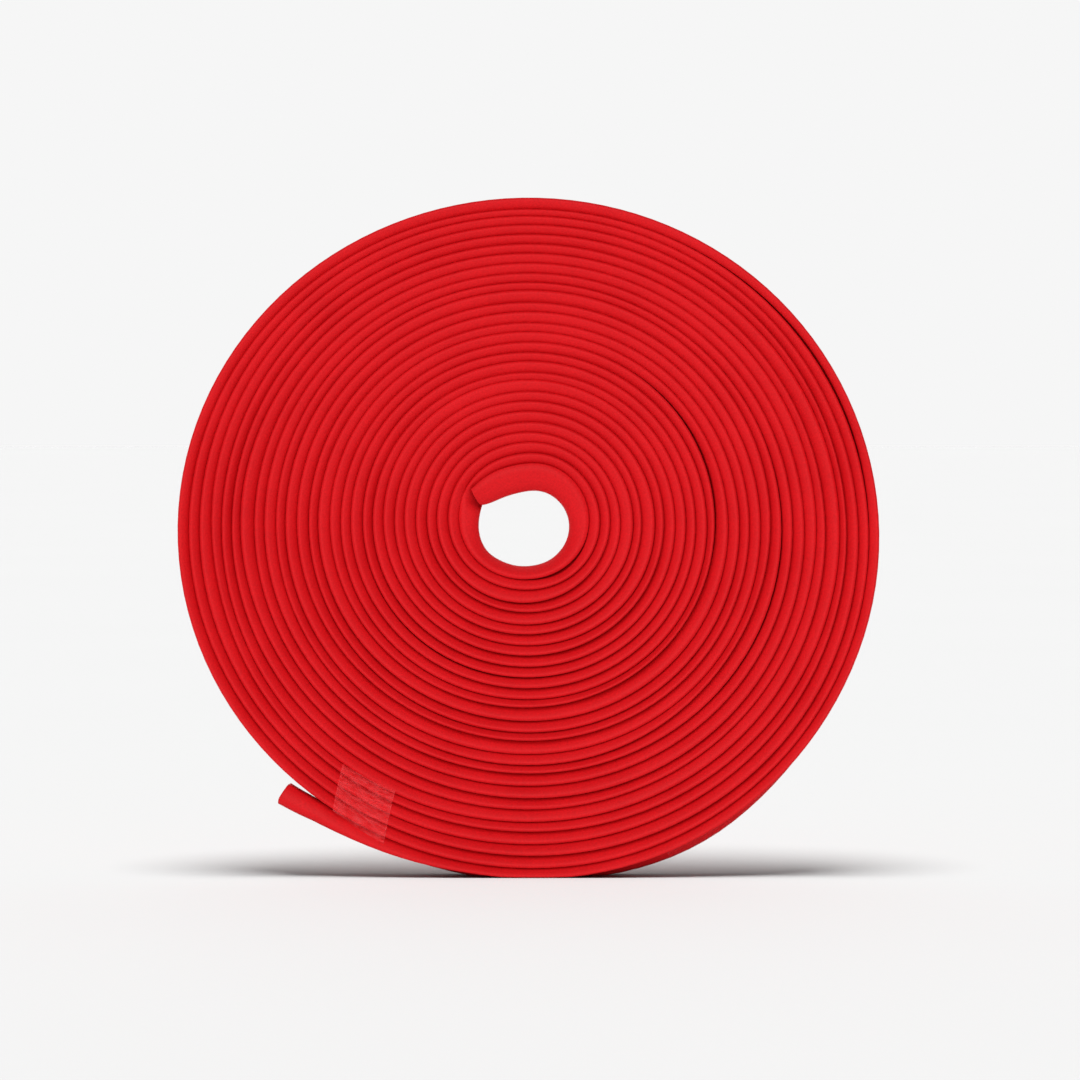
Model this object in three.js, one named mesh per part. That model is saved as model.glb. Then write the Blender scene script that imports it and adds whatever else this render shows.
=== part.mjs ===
// A roll of soft lay-flat tubing: one length wound edge-on into a flat disc
// that stands on its rim. The disc's axis is along Y and its front faces -Y.
// Both ends of the tubing are cut square and left loose, one inside the hole
// and one on the rim, and two strips of clear tape hold the outer end down.
// Millimetres, +Z up. The origin is under the middle of the whole, on its foot.

import * as THREE from 'three';

const degrees = Math.PI / 180;

// The tubing and its winding.
const turns = 27.75;          // turns of tubing, counted from its inner end
const pitch = 3.08;           // thickness of one turn, pressed flat
const depth = 12.5;           // width of the flattened tubing
const openDepth = 10.6;       // width where an end has opened to an oval
const innerRadius = 16.1;     // outer side of the first turn, if it were round
const startAngle = 140 * degrees;   // where the inner end is cut

// Where the middle of the hole lies.
const centreX = -0.9;
const centreZ = 100.1;

// The loose ends.
const tailRoot = -125 * degrees;
const tailTip = -132.4 * degrees;
const tailRootThickness = 4.8;
const tailTipThickness = 6.9;
const tailLift = 1.7;         // how far the tail's tip stands off the roll
const endRoot = 103 * degrees;
const endTip = 141 * degrees;
const endRootThickness = 7.4;
const endTipThickness = 6.0;
const endSlant = 5 * degrees; // the cut's inner corner lies further round
const seatRadius = 19.0;      // radius of the second turn over the inner end
const seatEnd = 151 * degrees;

// The hole is a rounded one, a little wider than it is high.
const holeHalfWidth = 13.6;
const holeHalfHeight = 11.1;

// Clear tape, and the gap kept between touching pieces.
const tapeThickness = 0.2;
const gap = 0.3;
const patchInner = 85.0;
const patchOuter = 99.0;
const patchStart = -126 * degrees;
const patchEnd = -115.5 * degrees;
const stripStart = -66.3 * degrees;
const stripEnd = -54.8 * degrees;

// The faces of the roll. The patch stands proud of the front one.
const frontY = (gap + tapeThickness - depth) / 2;
const backY = frontY + depth;
const openFrontY = (frontY + backY - openDepth) / 2;
const openBackY = openFrontY + openDepth;

const rubberRed = 0xd8222c;
const tapeClear = 0xf2ead8;

// The winding runs clockwise, as seen from the front.
function angleAt(turn) {
  return startAngle - 2 * Math.PI * turn;
}

// Radius of the outer side of the tubing after a number of turns. The roll is
// wider than it is high, and its inner turns sit a little above its middle.
function outerSide(turn) {
  const angle = angleAt(turn);
  const share = turn / turns;
  return innerRadius + pitch * turn
    + 0.4 * Math.cos(angle)
    + (3.7 - 4.1 * share - 0.9 * share ** 4) * Math.sin(angle)
    + (0.3 + 1.6 * share) * Math.cos(2 * angle)
    - 0.4 * share * Math.sin(2 * angle)
    - 0.3 * share * Math.cos(3 * angle);
}

// The last turn bulges at the lower right, and opens out towards its loose end.
function lastTurnSwell(turn) {
  const left = turns - turn;
  const bulge = 2.1 * Math.exp(-(((left - 0.187) / 0.036) ** 2));
  const opening = 4.4 * Math.max(0, 1 - left / 0.09) ** 2;
  return bulge + opening;
}

// The number of turns, within the last whole turn before a limit, at an angle.
function turnAt(angle, limit) {
  const whole = (startAngle - angle) / (2 * Math.PI);
  return whole + Math.floor(limit - whole);
}

// A point of the disc, with x across and y up. The foot is pressed flat.
function point(radius, angle) {
  const x = centreX + radius * Math.cos(angle);
  const y = centreZ + radius * Math.sin(angle);
  return new THREE.Vector2(x, Math.max(y, 0));
}

// Points along an arc whose radius is a function of the share of its length.
function arc(from, to, steps, radius) {
  const points = [];
  for (let i = 0; i <= steps; i += 1) {
    const share = i / steps;
    const angle = from + (to - from) * share;
    points.push(point(radius(share, angle), angle));
  }
  return points;
}

// An upright slab of an outline, from one depth to another.
function slab(shape, front, back) {
  const geometry = new THREE.ExtrudeGeometry(shape, {
    depth: back - front,
    bevelEnabled: false,
    curveSegments: 24,
  });
  geometry.rotateX(Math.PI / 2);
  geometry.translate(0, back, 0);
  return geometry;
}

// The wound tubing: the last turn's outer side, round to where the tail leaves.
function coilGeometry() {
  const endTurn = turnAt(tailRoot, turns);
  const outline = [];
  const steps = 144;
  for (let i = 0; i <= steps; i += 1) {
    const turn = endTurn - 1 + i / steps;
    outline.push(point(outerSide(turn) + lastTurnSwell(turn), angleAt(turn)));
  }
  const shape = new THREE.Shape(outline);
  const ellipse = (share, angle) => 1 / Math.hypot(
    Math.cos(angle) / holeHalfWidth,
    Math.sin(angle) / holeHalfHeight,
  );
  const seatStart = endRoot - (2 * gap) / seatRadius;
  const aroundHole = arc(seatEnd, seatStart + 2 * Math.PI, 40, ellipse);
  const overEnd = arc(seatStart, seatEnd, 10, () => seatRadius);
  shape.holes.push(new THREE.Path([...aroundHole, ...overEnd]));
  return slab(shape, frontY, backY);
}

// The tail beyond the tape: it thickens, and its tip stands off the roll.
function tailGeometry() {
  const root = tailRoot - gap / outerSide(turns);
  const innerSide = (share, angle) => {
    const under = outerSide(turnAt(angle, turns - 0.5));
    return under + 2 * gap + tailLift * share;
  };
  const outer = (share, angle) => {
    const thickness = THREE.MathUtils.lerp(tailRootThickness, tailTipThickness, share);
    return innerSide(share, angle) + thickness;
  };
  const inside = arc(root - gap / outerSide(turns), tailTip, 6, innerSide);
  const outside = arc(root, tailTip, 6, outer);
  const shape = new THREE.Shape([...inside, ...outside.reverse()]);
  return slab(shape, openFrontY, openBackY);
}

// The loose inner end: it lies along the top of the hole, under the next turn.
function innerEndGeometry() {
  const outerRadius = seatRadius - 2 * gap;
  const innerSide = (share) => {
    return outerRadius - THREE.MathUtils.lerp(endRootThickness, endTipThickness, share);
  };
  const outside = arc(endRoot, endTip, 8, () => outerRadius);
  const inside = arc(endRoot, endTip + endSlant, 8, innerSide);
  const shape = new THREE.Shape([...outside, ...inside.reverse()]);
  return slab(shape, openFrontY, openBackY);
}

// The front patch of tape, flat over the outer turns next to the tail.
function patchGeometry() {
  const outline = [
    point(patchInner, patchStart),
    point(patchOuter, patchStart),
    point(patchOuter, patchEnd),
    point(patchInner, patchEnd),
  ];
  const back = frontY - gap;
  return slab(new THREE.Shape(outline), back - tapeThickness, back);
}

// The strip of tape across the rim, from the front edge to the back one.
function stripGeometry() {
  const above = (offset) => (share, angle) => {
    const turn = turnAt(angle, turns);
    return outerSide(turn) + lastTurnSwell(turn) + offset;
  };
  const outside = arc(stripStart, stripEnd, 8, above(gap + tapeThickness));
  const inside = arc(stripStart, stripEnd, 8, above(gap));
  const shape = new THREE.Shape([...outside, ...inside.reverse()]);
  return slab(shape, frontY, backY);
}

function rubber() {
  return new THREE.MeshStandardMaterial({ color: rubberRed, roughness: 0.6, metalness: 0 });
}

function tape() {
  return new THREE.MeshStandardMaterial({
    color: tapeClear,
    roughness: 0.15,
    metalness: 0,
    transparent: true,
    opacity: 0.35,
  });
}

function piece(name, geometry, material) {
  const mesh = new THREE.Mesh(geometry, material);
  mesh.name = name;
  return mesh;
}

const group = new THREE.Group();
group.add(piece('wound_tubing', coilGeometry(), rubber()));
group.add(piece('outer_tail', tailGeometry(), rubber()));
group.add(piece('inner_end', innerEndGeometry(), rubber()));
group.add(piece('tape_patch', patchGeometry(), tape()));
group.add(piece('tape_strip', stripGeometry(), tape()));

export default group;
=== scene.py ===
"""A roll of soft red lay-flat tubing, standing on its rim, with two bits of clear tape.

One length of tubing is wound into the roll by a loop over its turns. Each ring of the
tube is a flattened section whose thickness and width follow the winding: thin and wide
where the turns press on each other, thick and oval where the two loose ends open out.
Lengths are worked out in millimetres and turned into metres where meshes are made.
"""
import math

import bpy
import numpy as np
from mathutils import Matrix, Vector
from mathutils.bvhtree import BVHTree


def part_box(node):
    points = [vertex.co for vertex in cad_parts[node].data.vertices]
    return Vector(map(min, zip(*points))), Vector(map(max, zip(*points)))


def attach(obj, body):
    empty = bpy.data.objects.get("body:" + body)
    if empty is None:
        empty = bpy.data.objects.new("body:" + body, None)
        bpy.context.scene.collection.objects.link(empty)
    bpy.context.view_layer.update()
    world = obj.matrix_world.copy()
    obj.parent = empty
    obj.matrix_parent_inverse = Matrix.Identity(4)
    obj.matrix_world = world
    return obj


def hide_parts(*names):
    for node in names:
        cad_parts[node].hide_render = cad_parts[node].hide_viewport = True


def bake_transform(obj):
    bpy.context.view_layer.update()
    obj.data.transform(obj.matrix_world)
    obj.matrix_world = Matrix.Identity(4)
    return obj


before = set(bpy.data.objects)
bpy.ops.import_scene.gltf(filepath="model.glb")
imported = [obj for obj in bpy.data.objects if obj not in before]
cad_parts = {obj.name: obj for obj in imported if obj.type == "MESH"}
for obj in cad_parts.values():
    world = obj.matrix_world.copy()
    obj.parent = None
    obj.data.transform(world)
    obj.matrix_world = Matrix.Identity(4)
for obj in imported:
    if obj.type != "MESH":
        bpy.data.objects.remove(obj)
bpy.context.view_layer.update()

MM = 0.001

# ---------------------------------------------------------------- sizes
# The winding: as in part.mjs, drawn a little closer to the photograph.
TURNS = 27.75            # turns of tubing, counted from its inner end
PITCH = 3.08             # thickness of one turn, pressed flat
INNER_RADIUS = 16.1      # outer side of the first turn, if it were round
START_DEG = 140.0        # where the inner end is cut
CENTRE_X = -0.9          # the roll's axis
CENTRE_Z = 100.9

# The outer end of the tubing, which is its tail, lies in this turn.
LAST_TURN = 27
TAIL_ROOT_DEG = -125.0   # where the tail leaves the roll
TAIL_TIP_DEG = -132.4
LIFT_START_DEG = -126.0  # from here on the tail stands off the roll
TAIL_LIFT = 1.6          # how far its tip stands off
OPENING_TURNS = (27.60, 27.67)   # where it starts to open out, and where it has done so

# The inner end of the tubing.
OVERLAP_TURNS = (0.972, 0.995)   # where the second turn comes to lie on the first
CUT_STRETCH = 0.04       # turns over which the inner end straightens and rises at its cut

# The tubing, flattened and opened out.
wound_low, wound_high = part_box("wound_tubing")
MIDDLE_Y = (wound_low[1] + wound_high[1]) / 2 / MM      # the roll's middle plane
FLAT_WIDTH = (wound_high[1] - wound_low[1]) / MM        # the tubing's flattened width
FLAT_THICKNESS = PITCH - 0.06    # its thickness where it is as wide as that
WIDTH_LOSS = 0.571       # width that it loses for each mm that it is thicker: pi / 2 - 1
WALL = 0.8               # wall of the tubing
CONTACT = 0.01           # gap between turns that touch
OVAL_FROM = (3.8, 6.5)   # thickness where the section starts to turn oval, and stops
OVAL_SHARE = 0.5         # how nearly oval it gets
CUT_ROUNDING = 0.12      # how far a cut's rim stands out, as a share of a ring's step

# The shape of its folded edges and flat sides.
CREST = 0.60             # where a fold stands furthest out, from inner side, -1, to outer, 1
LEAN = 2.05              # how far a fold curves back, from its crest to its inner side
OUTER_SHOULDER = 0.60    # depth of a fold's rounding into the outer side
INNER_SHOULDER = 0.15    # and into the inner side
BOW = 0.3                # how far the flat sides bow outward at mid width
FOLD_SWING_DEG = 56      # half of the angle that a fold takes up round an opened, oval end
FOLD_DEPTH = (2.5, 4.5)  # the front fold ends between these distances from the front

# How finely the tube is made.
FIRST_RINGS = 72         # rings in the first turn of the tube
MORE_RINGS = 2.0         # rings that each further turn has more than the one inside it
CUT_RINGS = 400          # rings per turn added close to the inner cut, and over it
TAIL_RINGS = 30
BORE_RINGS = 16          # rings of the bore that shows in a cut end
FOLD_POINTS = 17         # points round each folded edge of the section
SIDE_POINTS = 10         # points along each flat side, closer together at the front


def turn_at(angle_deg, whole):
    """The turn number at an angle, in the given whole turn."""
    return whole + (START_DEG - angle_deg) / 360.0


TAIL_ROOT = turn_at(TAIL_ROOT_DEG, LAST_TURN)
LIFT_START = turn_at(LIFT_START_DEG, LAST_TURN)
TAIL_TIP = turn_at(TAIL_TIP_DEG, LAST_TURN)


def angle_at(turn):
    """The angle round the roll's axis, counter-clockwise as seen from the front."""
    return np.radians(START_DEG) - 2 * np.pi * np.asarray(turn, float)


def bump(x, middle, width):
    """A smooth hump that is 1 high at its middle."""
    return np.exp(-(((x - middle) / width) ** 2))


def bumps(turn, places):
    """Humps at a list of places along the tubing."""
    return sum(height * bump(turn, place, width) for place, height, width in places)


def fading(turns_away, reach):
    """A share that is 1 at a cut of the tubing and fades with the distance from it."""
    return np.exp(-np.clip(turns_away, 0, None) / reach)


def smooth(low, high, x):
    """A share that rises from 0 at one value to 1 at another."""
    s = np.clip((np.asarray(x, float) - low) / (high - low), 0, 1)
    return s * s * (3 - 2 * s)


# Lists of places along the tubing: turn number, height in mm, and turns to come and go.
# Where a turn lies lower (-) or fuller (+) than an even winding would:
UNEVEN_PLACES = (
    (2.7, 0.5, 0.20),
    (4.6, 0.6, 0.25),
    (6.3, 0.4, 0.50),
    (8.2, 0.6, 0.22),
    (12.5, -1.25, 0.20),
    (15.6, -0.6, 0.20),
    (17.1, 0.7, 0.20),
    (17.48, -1.3, 0.09),
    (18.6, -0.6, 0.25),
    (19.6, -0.6, 0.15),
    (20.9, 0.7, 0.06),
    (21.35, 0.6, 0.10),
    (22.75, 0.8, 0.08),
    (23.35, 0.9, 0.12),
    (23.86, -0.7, 0.05),
    (26.15, -0.7, 0.15),
    (26.60, 0.4, 0.06),
)
# Where the last turn is pressed in, by the floor and by the tape:
PRESSED_PLACES = (
    (27.475, 0.6, 0.06),
    (27.672, 0.45, 0.02),
)
# Where a gap shows at the front between a turn's outer side and the next turn on it:
GAP_PLACES = (
    (0.52, 0.70, 0.085),
    (9.7, 0.25, 0.1),
    (12.33, 0.55, 0.07),
    (18.43, 0.30, 0.08),
    (26.31, 0.55, 0.06),
)
# Where the last turn's rim swells outward behind its front fold, at the lower right:
SWOLLEN_PLACES = (
    (27.565, 2.1, 0.050),
    (27.645, 1.3, 0.04),
)


def wave(turn, per_turn, start):
    """A sine along the tubing, with so many waves to a turn."""
    return np.sin(2 * np.pi * per_turn * turn + start)


def unevenness(turn):
    """Turns don't lie quite evenly: some are pressed thin and the next is fuller."""
    ripple = 0.12 * wave(turn, 1.37, 2.1) + 0.08 * wave(turn, 2.41, 5.0)
    settled = smooth(0.6, 2.0, turn) * (1 - smooth(26.6, 27.2, turn))
    return (ripple + bumps(turn, UNEVEN_PLACES)) * settled


def outer_side(turn):
    """Radius of the tubing's outer side after a number of turns.

    The roll is wider than it is high, and its inner turns sit a little above its middle.
    Its first turns are flattened at the top, where the inner end lies.
    """
    turn = np.asarray(turn, float)
    angle = angle_at(turn)
    share = turn / TURNS
    radius = (
        INNER_RADIUS
        + PITCH * turn
        + 0.4 * np.cos(angle)
        + (3.7 - 4.0 * share - 1.8 * share**6) * np.sin(angle)
        + (0.3 + 1.6 * share) * np.cos(2 * angle)
        - 0.4 * share * np.sin(2 * angle)
        - 0.3 * share * np.cos(3 * angle)
    )
    from_top = (angle - np.radians(98) + np.pi) % (2 * np.pi) - np.pi
    flattened = 0.95 * np.exp(-turn / 2.2) * bump(from_top, 0, np.radians(25))
    pressed = bumps(turn, PRESSED_PLACES)
    return radius - flattened - pressed + unevenness(turn)


def first_thickness(turn):
    """Thickness of the first turn, which lines the hole and has opened out at its cut end."""
    opened = 4.6 * (1 - smooth(0.15, 0.56, turn)) - 4.0 * fading(turn, 0.03)
    fuller = 0.5 * bump(turn, 0.47, 0.11) + 0.3 * smooth(0.66, 0.78, turn)
    under_cut = 2.5 * smooth(0.78, 0.97, turn)
    return 3.7 + opened + fuller + under_cut


def last_thickness(turn):
    """Thickness of the outer end, which has opened out towards its cut too."""
    opened = 3.2 * np.clip((turn - 27.66) / 0.097, 0, None) ** 1.4
    return 3.1 + opened + 0.8 * bump(turn, 27.745, 0.018)


def pressed_on_floor(turn, radius):
    """The radius, but no further out than the floor, where the roll stands on it."""
    down = -np.sin(angle_at(turn))
    to_floor = np.where(down > 0.5, CENTRE_Z / np.maximum(down, 0.5), 1e3)
    return np.minimum(radius, to_floor)


def sides(turn):
    """Radii of the tubing's inner and outer side."""
    turn = np.asarray(turn, float)
    outer = outer_side(turn)
    lining = outer - first_thickness(turn)
    resting = outer_side(turn - 1) + CONTACT
    inner = lining + (resting - lining) * smooth(*OVERLAP_TURNS, turn)
    # The tip of the outer end stands off the roll.
    lifted = np.clip((turn - LIFT_START) / (TAIL_TIP - LIFT_START), 0, None)
    inner = inner + TAIL_LIFT * lifted**1.2
    outer = outer + (inner + last_thickness(turn) - outer) * smooth(*OPENING_TURNS, turn)
    return inner, pressed_on_floor(turn, outer)


def section_fold(width, lean, relief, sign):
    """One folded edge, front (-1) or back (1): its flat and oval shapes, from the inner side."""
    place = np.linspace(-1, 1, FOLD_POINTS)[None, :] * np.ones_like(width)
    across = np.sin(place * np.pi / 2)
    into_outer = np.clip((across - CREST) / (1 - CREST), 0, 1)
    into_inner = np.clip((-across - 0.5) / 0.5, 0, 1)
    slope = lean * (np.clip(CREST - across, 0, 2) / (1 + CREST)) ** 1.5
    recess = relief * (slope + INNER_SHOULDER * into_inner**2) + OUTER_SHOULDER * into_outer**2
    swing = np.radians(FOLD_SWING_DEG) * place
    return across, sign * (width / 2 - recess), np.sin(swing), sign * width / 2 * np.cos(swing)


def section_side(width, lean, relief, sign):
    """One flat side, inner (-1) or outer (1): its flat and oval shapes, from the front."""
    share = ((np.arange(SIDE_POINTS) + 1)[None, :] / (SIDE_POINTS + 1)) ** 1.4
    depth = OUTER_SHOULDER if sign > 0 else relief * (INNER_SHOULDER + lean)
    swing = np.radians(FOLD_SWING_DEG + share * (180 - 2 * FOLD_SWING_DEG))
    return (
        sign * np.ones_like(share * width),
        (2 * share - 1) * (width / 2 - depth),
        sign * np.sin(swing) * np.ones_like(width),
        -width / 2 * np.cos(swing),
    )


def section(turn, thickness, width, lean, relief):
    """Points round the tubing's section: u outward from -1 to 1, v in mm from its middle."""
    shape = [x[:, None] for x in (width, lean, relief)]
    parts = [
        section_fold(*shape, -1),
        section_side(*shape, 1),
        [x[:, ::-1] for x in section_fold(*shape, 1)],
        [x[:, ::-1] for x in section_side(*shape, -1)],
    ]
    flat_u, flat_v, oval_u, oval_v = (np.concatenate([p[k] for p in parts], axis=1) for k in range(4))
    openness = OVAL_SHARE * smooth(*OVAL_FROM, thickness)[:, None]
    # In the first turn the outer side stays pressed flat.
    first = (turn < 2)[:, None]
    openness = openness * (1 - first * (0.3 + 0.6 * smooth(-0.6, 0.6, flat_u)))
    return flat_u + (oval_u - flat_u) * openness, flat_v + (oval_v - flat_v) * openness


def fold_shape(turn):
    """How far a fold curves back at each turn, and how strongly its shape stands out."""
    uneven = 0.22 * wave(turn, 0.83, 0.7) + 0.18 * wave(turn, 1.61, 3.0)
    lean = LEAN + smooth(1, 3, turn) * uneven
    round_hole = 0.8 * (1 - smooth(0.6, 1.1, turn))
    relief = 0.85 + round_hole - 0.28 * np.sin(angle_at(turn)) * smooth(1, 4, turn)
    return lean, relief


def swelling(turn, u, v):
    """How far the last turn's rim stands out. A narrow valley parts its front fold from it."""
    swell = bumps(turn, SWOLLEN_PLACES)[:, None]
    from_front = v + FLAT_WIDTH / 2
    behind_fold = smooth(5.4, 7.4, from_front) * (1 - 0.4 * smooth(8.5, 12.0, from_front))
    valley = 2.7 * bump(from_front, 3.8, 1.8) * np.clip(swell, 0, 1)
    return smooth(-0.6, 0.8, u) * (swell * behind_fold - valley)


def front_lift(turn, u, relief):
    """How far the front fold is drawn outward: by a gap under it, and at the inner cut."""
    gap = bumps(turn - 1, GAP_PLACES) + 0.10 * (relief - 0.55) * (turn > 1)
    at_cut = 1.4 * fading(turn, CUT_STRETCH)
    return gap[:, None] * (1 - u) / 2 + at_cut[:, None] * (1 + u) / 2


def cut_swing(turn, u):
    """The angle by which the points of a ring lie off it, near the cuts.

    The inner end is cut square across a stretch that runs straight, so its inner
    corner lies further round. Both cuts have rounded corners.
    """
    square = fading(turn, CUT_STRETCH)[:, None] * np.radians(3.0 + 9.6 * (1 - u) / 2)
    inner_corner = fading(turn, 0.012)[:, None] * np.radians(4.0) * np.minimum(u, 0) ** 4
    tail_corner = fading(TAIL_TIP - turn, 0.003)[:, None] * np.radians(0.5 * u**4 + 0.3 * u - 0.4)
    return square - inner_corner + tail_corner


def set_back(turn, u, relief, at_front):
    """How far back the points of a ring lie: turns wander, and the inner end stands forward."""
    wander = smooth(1, 3, turn) * (0.20 * wave(turn, 0.61, 1.0) + 0.14 * wave(turn, 1.83, 0.0))
    forward = 1.5 * (1 - smooth(0.10, 0.50, turn)) + 0.8 * fading(turn, CUT_STRETCH)
    # Where the second turn passes the cut, its front is pushed back.
    pushed = 4.0 * bump(turn, 0.975, 0.020)[:, None] * at_front * (1 - u) / 2
    return (wander * relief - forward)[:, None] + pushed


def rings(turn, inset=0.0):
    """Points of the tube's rings at each turn number, in metres, and the rings' centres."""
    inner, outer = sides(turn)
    thickness = outer - inner
    width = FLAT_WIDTH + WIDTH_LOSS * (FLAT_THICKNESS - thickness)
    lean, relief = fold_shape(turn)
    u, v = section(turn, thickness, width, lean, relief)
    half = thickness[:, None] / 2
    u = u * (half - inset) / half
    v = v * (width[:, None] / 2 - inset) / (width[:, None] / 2)
    at_front = 1 - smooth(*FOLD_DEPTH, v + FLAT_WIDTH / 2)
    radius = (inner + outer)[:, None] / 2 + u * half + BOW * (1 - (2 * v / FLAT_WIDTH) ** 2)
    radius = radius + swelling(turn, u, v) + front_lift(turn, u, relief) * at_front
    angle = angle_at(turn)[:, None] + cut_swing(turn, u)
    x = CENTRE_X + radius * np.cos(angle)
    y = MIDDLE_Y + v + set_back(turn, u, relief, at_front)
    z = np.maximum(CENTRE_Z + radius * np.sin(angle), 0.0)
    points = np.stack([x, y, z], axis=-1)
    return points * MM, points.mean(axis=1) * MM


# ---------------------------------------------------------------- meshes
def mesh_object(name, points, faces, uvs=None, smooth_faces=True):
    """A new object of those points, in metres, and faces, with a UV place for each point."""
    mesh = bpy.data.meshes.new(name)
    mesh.from_pydata([tuple(p) for p in points], [], faces)
    mesh.update()
    if uvs is not None:
        layer = mesh.uv_layers.new(name="UVMap")
        loop_points = np.zeros(len(mesh.loops), np.int32)
        mesh.loops.foreach_get("vertex_index", loop_points)
        layer.data.foreach_set("uv", np.asarray(uvs, np.float32)[loop_points].ravel())
    if smooth_faces:
        mesh.shade_smooth()
    obj = bpy.data.objects.new(name, mesh)
    bpy.context.scene.collection.objects.link(obj)
    return obj


def band_faces(first, second, around):
    """Quads between two rings that start at those point numbers."""
    return [
        (first + j, first + (j + 1) % around, second + (j + 1) % around, second + j)
        for j in range(around)
    ]


def bore(turns, outside, numbers):
    """Rings of the bore at those ring numbers, from a cut inwards, with a rounded rim first."""
    mouth = numbers[0]
    step = (outside[mouth] - outside[numbers[1]]).mean(axis=0)
    rim = rings(turns[[mouth]], inset=WALL / 2)[0][0] + step * CUT_ROUNDING
    return [rim] + [rings(turns[[i]], inset=WALL)[0][0] for i in numbers]


def tube(name, turns, cut_first):
    """A tube over the rings at those turn numbers. Its first or last end shows wall and bore."""
    outside, centres = rings(turns)
    around = outside.shape[1]
    loops = [outside[i] for i in range(len(turns))]
    if cut_first:
        loops = bore(turns, outside, list(range(BORE_RINGS)))[::-1] + loops
    else:
        last = len(turns) - 1
        loops = loops + bore(turns, outside, [last - i for i in range(BORE_RINGS)])
    points = np.concatenate(loops)
    faces = []
    for i in range(len(loops) - 1):
        faces += band_faces(i * around, (i + 1) * around, around)
    faces.append(tuple(range(around))[::-1])
    faces.append(tuple((len(loops) - 1) * around + j for j in range(around)))
    along = np.concatenate(
        [[0], np.cumsum([np.linalg.norm((b - a).mean(axis=0)) for a, b in zip(loops, loops[1:])])]
    )
    uvs = [(s, j / around) for s in along for j in range(around)]
    obj = mesh_object(name, points, faces, uvs)
    sharpen_caps(obj, around)
    face_out(obj)
    return obj, centres


def sharpen_caps(obj, around):
    """Keep the shading of a tube's two end faces apart from that of its sides."""
    mesh = obj.data
    caps = [face for face in mesh.polygons if len(face.vertices) == around]
    rims = {tuple(sorted(edge)) for face in caps for edge in face.edge_keys}
    for face in caps:
        face.use_smooth = False
    for edge in mesh.edges:
        if edge.key in rims:
            edge.use_edge_sharp = True


def face_out(obj):
    """Turn every face of a closed mesh so that it looks outward."""
    mesh = obj.data
    mesh.calc_loop_triangles()
    corners = np.zeros(len(mesh.loop_triangles) * 3, np.int32)
    mesh.loop_triangles.foreach_get("vertices", corners)
    points = np.zeros(len(mesh.vertices) * 3, np.float32)
    mesh.vertices.foreach_get("co", points)
    a, b, c = (points.reshape(-1, 3)[corners.reshape(-1, 3)[:, k]] for k in range(3))
    if (np.cross(a, b) * c).sum() < 0:
        mesh.flip_normals()


# ---------------------------------------------------------------- camera
PICTURE_WIDTH = 0.3125   # width of the picture at the roll's front, in metres
LENS = 135.0
SENSOR = 36.0
ELEVATION = math.radians(1.5)
AIM = (0.0033, wound_low[1], 0.0981)     # the point in the middle of the picture


def make_camera():
    """A long lens, level with the roll but for a slight look down."""
    data = bpy.data.cameras.new("camera")
    data.lens = LENS
    data.sensor_width = SENSOR
    data.clip_end = 100
    camera = bpy.data.objects.new("camera", data)
    distance = LENS / SENSOR * PICTURE_WIDTH
    camera.location = (
        AIM[0],
        AIM[1] - distance * math.cos(ELEVATION),
        AIM[2] + distance * math.sin(ELEVATION),
    )
    camera.rotation_euler = (math.pi / 2 - ELEVATION, 0, 0)
    bpy.context.scene.collection.objects.link(camera)
    bpy.context.scene.camera = camera


make_camera()


# ---------------------------------------------------------------- materials
class Nodes:
    """A short way to write a material's nodes."""

    def __init__(self, name):
        self.material = bpy.data.materials.new(name)
        self.material.use_nodes = True
        self.tree = self.material.node_tree
        self.shader = self.tree.nodes["Principled BSDF"]

    def add(self, kind, inputs=None, **settings):
        node = self.tree.nodes.new(kind)
        for key, value in settings.items():
            setattr(node, key, value)
        for key, value in (inputs or {}).items():
            if isinstance(value, bpy.types.NodeSocket):
                self.tree.links.new(value, node.inputs[key])
            else:
                node.inputs[key].default_value = value
        return node

    def link(self, socket, name):
        self.tree.links.new(socket, self.shader.inputs[name])

    def ramp(self, factor, stops):
        node = self.add("ShaderNodeValToRGB", {"Fac": factor})
        elements = node.color_ramp.elements
        while len(elements) < len(stops):
            elements.new(0.5)
        for element, (place, colour) in zip(elements, stops):
            element.position = place
            element.color = (*colour, 1)
        return node.outputs["Color"]

    def noise(self, vector, scale, detail=3.0, roughness=0.5):
        return self.add(
            "ShaderNodeTexNoise",
            {"Vector": vector, "Scale": scale, "Detail": detail, "Roughness": roughness},
        ).outputs["Fac"]

    def spread(self, value, old, new):
        """A value with its old range spread over a new one."""
        limits = {"From Min": old[0], "From Max": old[1], "To Min": new[0], "To Max": new[1]}
        return self.add("ShaderNodeMapRange", {"Value": value, **limits}).outputs["Result"]

    def bump(self, height, strength, distance, normal=None):
        inputs = {"Height": height, "Strength": strength, "Distance": distance}
        if normal is not None:
            inputs["Normal"] = normal
        return self.add("ShaderNodeBump", inputs).outputs["Normal"]


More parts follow.
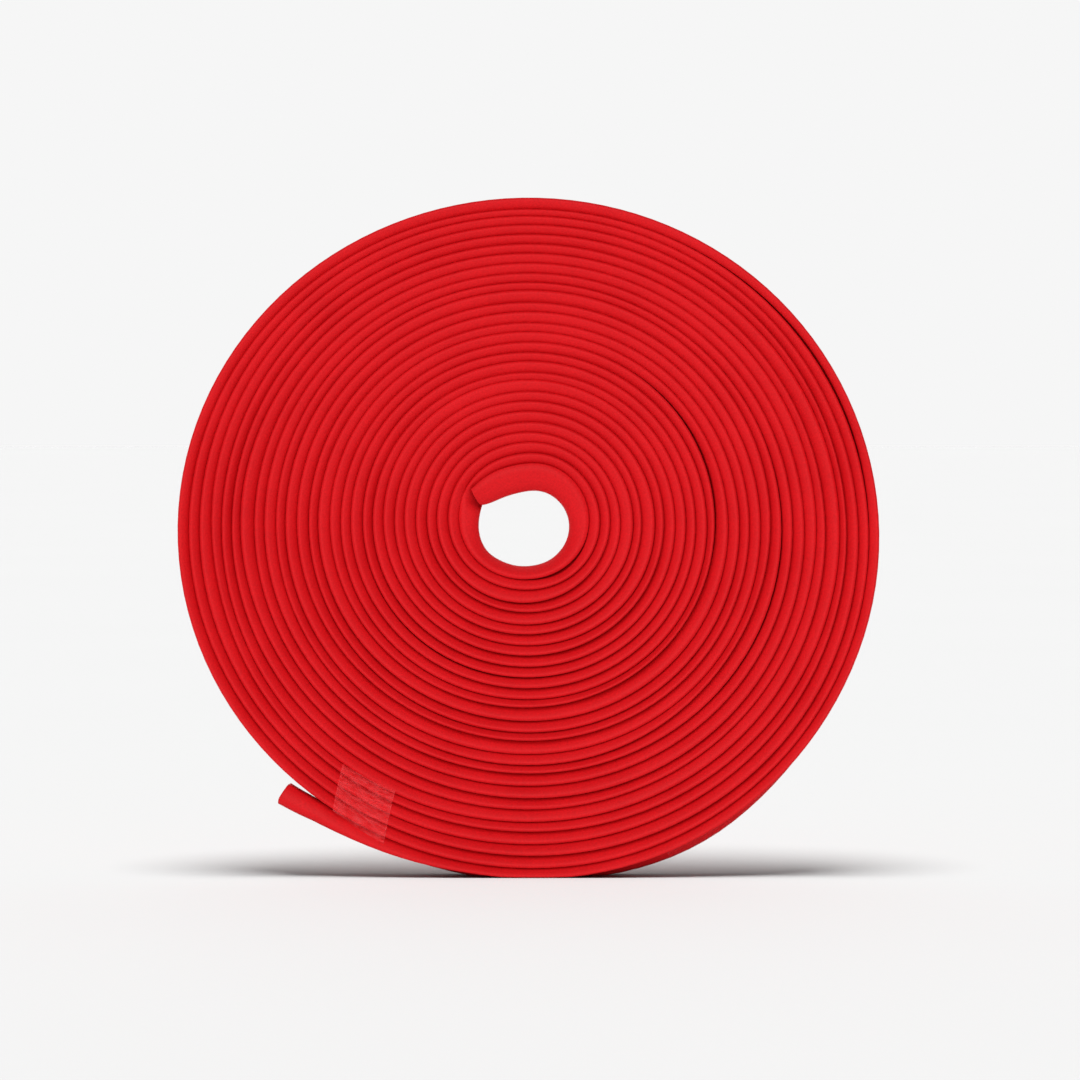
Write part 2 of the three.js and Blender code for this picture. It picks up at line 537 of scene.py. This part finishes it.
def red_tubing():
    """Matt red sleeving: fine grain, faint drawn lines along it, slight changes of tone."""
    m = Nodes("red_tubing")
    place = m.add("ShaderNodeTexCoord")
    along = m.add("ShaderNodeMapping", {"Vector": place.outputs["UV"], "Scale": (30, 160, 1)})
    tone = m.noise(place.outputs["Object"], 55, 4, 0.55)
    grain = m.noise(place.outputs["Object"], 1700, 3, 0.65)
    lines = m.noise(along.outputs["Vector"], 1.0, 3, 0.5)
    mixed = m.add(
        "ShaderNodeMix",
        {"Factor": 0.35, "A": tone, "B": lines},
        data_type="FLOAT",
    ).outputs["Result"]
    reds = [(0.25, (0.63, 0.005, 0.009)), (0.5, (0.68, 0.007, 0.011)), (0.75, (0.73, 0.009, 0.014))]
    colour = m.ramp(mixed, reds)
    specks = m.ramp(grain, [(0.32, (0.82, 0.82, 0.82)), (0.68, (1.0, 1.0, 1.0))])
    blended = m.add(
        "ShaderNodeMix",
        {"Factor": 1.0, "A": colour, "B": specks},
        data_type="RGBA",
        blend_type="MULTIPLY",
    )
    m.link(blended.outputs["Result"], "Base Color")
    m.link(m.spread(tone, (0.3, 0.7), (0.50, 0.62)), "Roughness")
    m.shader.inputs["Specular IOR Level"].default_value = 0.12
    drawn = m.bump(lines, 0.25, 0.00004)
    m.link(m.bump(grain, 0.8, 0.00008, drawn), "Normal")
    return m.material


def clear_tape(name, alpha):
    """Clear film with fine creases. It takes on the tubing's red and evens out its shades."""
    m = Nodes(name)
    place = m.add("ShaderNodeTexCoord")
    stretched = m.add("ShaderNodeMapping", {"Vector": place.outputs["UV"], "Scale": (1.0, 3.5, 1)})
    creases = m.noise(stretched.outputs["Vector"], 5.0, 5, 0.6)
    fine = m.noise(place.outputs["Object"], 900, 2, 0.5)
    colour = m.ramp(creases, [(0.35, (0.98, 0.035, 0.04)), (0.6, (1.0, 0.09, 0.10))])
    m.link(colour, "Base Color")
    m.link(m.spread(creases, (0.35, 0.65), (alpha * 0.5, alpha * 1.5)), "Alpha")
    m.shader.inputs["Roughness"].default_value = 0.42
    m.shader.inputs["Specular IOR Level"].default_value = 0.06
    m.shader.inputs["IOR"].default_value = 1.47
    m.link(m.bump(fine, 0.15, 0.00005, m.bump(creases, 0.3, 0.0002)), "Normal")
    return m.material


def pale_floor():
    """Matt paper for the floor. The overhead light makes it as bright as the backdrop."""
    m = Nodes("pale_floor")
    place = m.add("ShaderNodeTexCoord")
    tone = m.noise(place.outputs["Object"], 3, 2, 0.5)
    colour = m.ramp(tone, [(0.3, (0.300, 0.300, 0.300)), (0.7, (0.302, 0.302, 0.302))])
    m.link(colour, "Base Color")
    m.shader.inputs["Roughness"].default_value = 0.9
    m.shader.inputs["Specular IOR Level"].default_value = 0.1
    return m.material


# Films differ in how much they cover what is under them: most at their edges, and least
# on the rim, where they are seen at a slant.
RED = red_tubing()
TAPE = clear_tape("clear_tape", 0.16)
TAPE_EDGE = clear_tape("tape_edge", 0.30)
RIM_TAPE = clear_tape("rim_tape", 0.04)
RIM_TAPE_EDGE = clear_tape("rim_tape_edge", 0.2)


# ---------------------------------------------------------------- the tubing
def ring_places():
    """Turn numbers of the wound tube's rings: further out, and round the cut, they lie closer."""
    turn = np.linspace(0, TAIL_ROOT, 40001)
    at_cut = bump(turn, 0, 0.05) + bump(turn, 0.99, 0.03)
    density = FIRST_RINGS + MORE_RINGS * turn + CUT_RINGS * at_cut
    passed = np.concatenate([[0], np.cumsum((density[1:] + density[:-1]) / 2 * np.diff(turn))])
    return np.interp(np.linspace(0, passed[-1], round(passed[-1]) + 1), passed, turn)


def wound_tubing():
    """The turns of the roll, with the inner end, and the line through their middle."""
    coil, centres = tube("tubing_roll", ring_places(), cut_first=True)
    coil.data.materials.append(RED)
    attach(coil, "roll")
    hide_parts("wound_tubing", "inner_end")
    return coil, centres


def loose_tail():
    """The outer end, past the tape."""
    turns = np.linspace(TAIL_ROOT, TAIL_TIP, TAIL_RINGS)
    tail, centres = tube("tubing_tail", turns, cut_first=False)
    tail.data.materials.append(RED)
    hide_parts("outer_tail")
    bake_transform(tail)
    return tail


coil, coil_centres = wound_tubing()
tail = loose_tail()


# ---------------------------------------------------------------- the tape
FILM_THICKNESS = 0.04
FILM_GAP = 0.05          # least distance of the film from the tubing
FILM_CREASES = 0.5       # how strongly its creases stand out
BRIDGED_STEPS = 3        # the film spans hollows of this many grid steps to either side
OVER_A_GAP = 5.0         # how far forward the patch lies where no tubing is behind it
CAST_Y = -100.0          # well in front of the roll, where the patch's heights are cast from
CAST_RADIUS = 130.0      # well outside the rim, where the strip's are

# The patch on the front: angle of its left and right edges, at their inner and outer
# ends, and radius of its inner and outer edges, at their left and right ends.
PATCH_LEFT = (-128.0, -124.5)
PATCH_RIGHT = (-116.6, -114.3)
PATCH_INNER = (86.0, 84.3)
PATCH_OUTER = (98.6, 100.0)

# The strip over the rim: angle of its two edges, and how far its ends stay from the
# front and from the back of the roll.
STRIP_EDGES = (-66.3, -54.8)
STRIP_MARGINS = (0.5, 1.1)


def mix(pair, share):
    """A value between two, or between two grids of them."""
    return pair[0] + (pair[1] - pair[0]) * share


def film_faces(columns, rows):
    """Faces of a closed sheet over a grid, its front layer first, and which are at an edge."""
    far_a, far_b = columns - 1, rows - 1

    def at(a, b, layer=0):
        return layer * columns * rows + a * rows + b

    faces, edge = [], []
    for a in range(far_a):
        for b in range(far_b):
            faces.append((at(a, b), at(a + 1, b), at(a + 1, b + 1), at(a, b + 1)))
            faces.append((at(a, b + 1, 1), at(a + 1, b + 1, 1), at(a + 1, b, 1), at(a, b, 1)))
            edge += [a in (0, far_a - 1)] * 2
    for a in range(far_a):
        faces.append((at(a, 0), at(a, 0, 1), at(a + 1, 0, 1), at(a + 1, 0)))
        faces.append((at(a, far_b), at(a + 1, far_b), at(a + 1, far_b, 1), at(a, far_b, 1)))
        edge += [True, True]
    for b in range(far_b):
        faces.append((at(0, b), at(0, b + 1), at(0, b + 1, 1), at(0, b, 1)))
        faces.append((at(far_a, b), at(far_a, b, 1), at(far_a, b + 1, 1), at(far_a, b + 1)))
        edge += [True, True]
    return faces, edge


def film(name, front, middle, rim):
    """A thin closed sheet whose front lies at a grid of points, of two materials."""
    columns, rows = front.shape[:2]
    normal = np.cross(np.gradient(front, axis=0), np.gradient(front, axis=1))
    normal /= np.linalg.norm(normal, axis=-1, keepdims=True)
    back = front - normal * FILM_THICKNESS
    points = np.concatenate([front.reshape(-1, 3), back.reshape(-1, 3)]) * MM
    faces, edge = film_faces(columns, rows)
    uvs = [(a / (columns - 1), b / (rows - 1)) for a in range(columns) for b in range(rows)] * 2
    obj = mesh_object(name, points, faces, uvs)
    face_out(obj)
    obj.data.materials.append(middle)
    obj.data.materials.append(rim)
    obj.data.polygons.foreach_set("material_index", np.array(edge, np.int32))
    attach(obj, "roll")
    return obj


def roll_surface():
    """The tubing's surface, to lay the tape on."""
    points, faces = [], []
    for obj in (coil, tail):
        faces += [[len(points) + i for i in face.vertices] for face in obj.data.polygons]
        points += [v.co.copy() for v in obj.data.vertices]
    return BVHTree.FromPolygons(points, faces)


def drape(height, passes):
    """Heights of a film laid over a surface. It spans narrow hollows along b, and is eased."""
    bridged = height.copy()
    for step in range(1, BRIDGED_STEPS + 1):
        bridged[:, step:] = np.maximum(bridged[:, step:], height[:, :-step])
        bridged[:, :-step] = np.maximum(bridged[:, :-step], height[:, step:])
    for _ in range(passes):
        padded = np.pad(bridged, 1, mode="edge")
        bridged = (padded[:-2, 1:-1] + padded[2:, 1:-1] + padded[1:-1, :-2] + padded[1:-1, 2:]) / 4
    return np.maximum(bridged, height) + FILM_GAP


def film_grid(columns, rows):
    """Shares across and along a film, as two grids."""
    return np.meshgrid(np.linspace(0, 1, columns), np.linspace(0, 1, rows), indexing="ij")


def front_patch():
    """The patch on the front: a runs across it, to the right, and b from inside outward."""
    a, b = film_grid(64, 64)
    angle = np.radians(mix((mix(PATCH_LEFT, b), mix(PATCH_RIGHT, b)), a))
    radius = mix((mix(PATCH_INNER, a), mix(PATCH_OUTER, a)), b)
    x, z = CENTRE_X + radius * np.cos(angle), CENTRE_Z + radius * np.sin(angle)
    proud = np.zeros_like(x)
    for i in np.ndindex(x.shape):
        hit = surface.ray_cast((x[i] * MM, CAST_Y * MM, z[i] * MM), (0, 1, 0), -CAST_Y * MM)[0]
        proud[i] = -hit.y / MM if hit is not None else OVER_A_GAP
    crease = 0.05 * np.sin(37 * b + 9 * a) + 0.04 * np.sin(23 * b - 31 * a + 1)
    crease = crease + 0.03 * np.sin(61 * a + 17 * b)
    proud = drape(proud, 4) + FILM_CREASES * np.abs(crease)
    return np.stack([x, -proud, z], axis=-1)


def rim_strip():
    """The strip over the rim: a runs along the rim, and b from the front to the back."""
    a, b = film_grid(56, 40)
    angle = np.radians(mix(STRIP_EDGES, a))
    y = MIDDLE_Y - FLAT_WIDTH / 2 + mix((STRIP_MARGINS[0], FLAT_WIDTH - STRIP_MARGINS[1]), b)
    radius = np.zeros_like(y)
    for i in np.ndindex(y.shape):
        outward = Vector((math.cos(angle[i]), 0, math.sin(angle[i])))
        start = Vector((CENTRE_X, y[i], CENTRE_Z)) * MM + outward * (CAST_RADIUS * MM)
        hit = surface.ray_cast(start, -outward)[0]
        radius[i] = CAST_RADIUS - (hit - start).length / MM
    crease = 0.05 * np.sin(50 * a + 5 * b) + 0.03 * np.sin(83 * a - 7 * b)
    radius = drape(radius, 3) + FILM_CREASES * np.abs(crease)
    x, z = CENTRE_X + radius * np.cos(angle), CENTRE_Z + radius * np.sin(angle)
    return np.stack([x, y, z], axis=-1)


surface = roll_surface()
patch = film("tape_on_front", front_patch(), TAPE, TAPE_EDGE)
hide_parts("tape_patch")
strip = film("tape_over_rim", rim_strip(), RIM_TAPE, RIM_TAPE_EDGE)
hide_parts("tape_strip")


# ---------------------------------------------------------------- floor and light
FLOOR_REACH = 40.0       # metres from the roll to the floor's edge
BACKDROP = 0.922         # brightness of the backdrop, and of the floor in the picture
FRONT_LIGHT = 0.15       # brightness of the surroundings on the camera's side


def floor():
    """A wide pale floor. Far off it meets the backdrop, which is as bright as it is."""
    far = FLOOR_REACH
    points = [(-far, -far, 0), (far, -far, 0), (far, far, 0), (-far, far, 0)]
    obj = mesh_object("floor", points, [(0, 1, 2, 3)], smooth_faces=False)
    obj.data.materials.append(pale_floor())
    return obj


def sun(name, towards, strength, spread_deg, lit):
    """A soft light from far off, which lights only the given pieces."""
    data = bpy.data.lights.new(name, "SUN")
    data.energy = strength
    data.angle = math.radians(spread_deg)
    light = bpy.data.objects.new(name, data)
    light.rotation_euler = Vector(towards).to_track_quat("-Z", "Y").to_euler()
    bpy.context.scene.collection.objects.link(light)
    group = bpy.data.collections.new(name + "_lights")
    for obj in lit:
        group.objects.link(obj)
    light.light_linking.receiver_collection = group


def backdrop():
    """Light from all sides, bright behind the roll and weaker towards the camera's side."""
    world = bpy.data.worlds.new("studio")
    world.use_nodes = True
    nodes, links = world.node_tree.nodes, world.node_tree.links
    nodes["Background"].inputs["Color"].default_value = (1, 1, 1, 1)
    place = nodes.new("ShaderNodeTexCoord")
    split = nodes.new("ShaderNodeSeparateXYZ")
    grade = nodes.new("ShaderNodeMapRange")
    grade.interpolation_type = "SMOOTHSTEP"
    limits = {"From Min": -0.3, "From Max": 0.9, "To Min": FRONT_LIGHT, "To Max": BACKDROP}
    for key, value in limits.items():
        grade.inputs[key].default_value = value
    links.new(place.outputs["Generated"], split.inputs["Vector"])
    links.new(split.outputs["Y"], grade.inputs["Value"])
    links.new(grade.outputs["Result"], nodes["Background"].inputs["Strength"])
    bpy.context.scene.world = world


ground = floor()
backdrop()
sun("overhead", towards=(0.04, 0.20, -1), strength=8.45, spread_deg=30, lit=[ground])
sun("key", towards=(0.12, 1, -0.42), strength=2.45, spread_deg=60, lit=[coil, tail, patch, strip])
bpy.context.scene.view_settings.view_transform = "Standard"
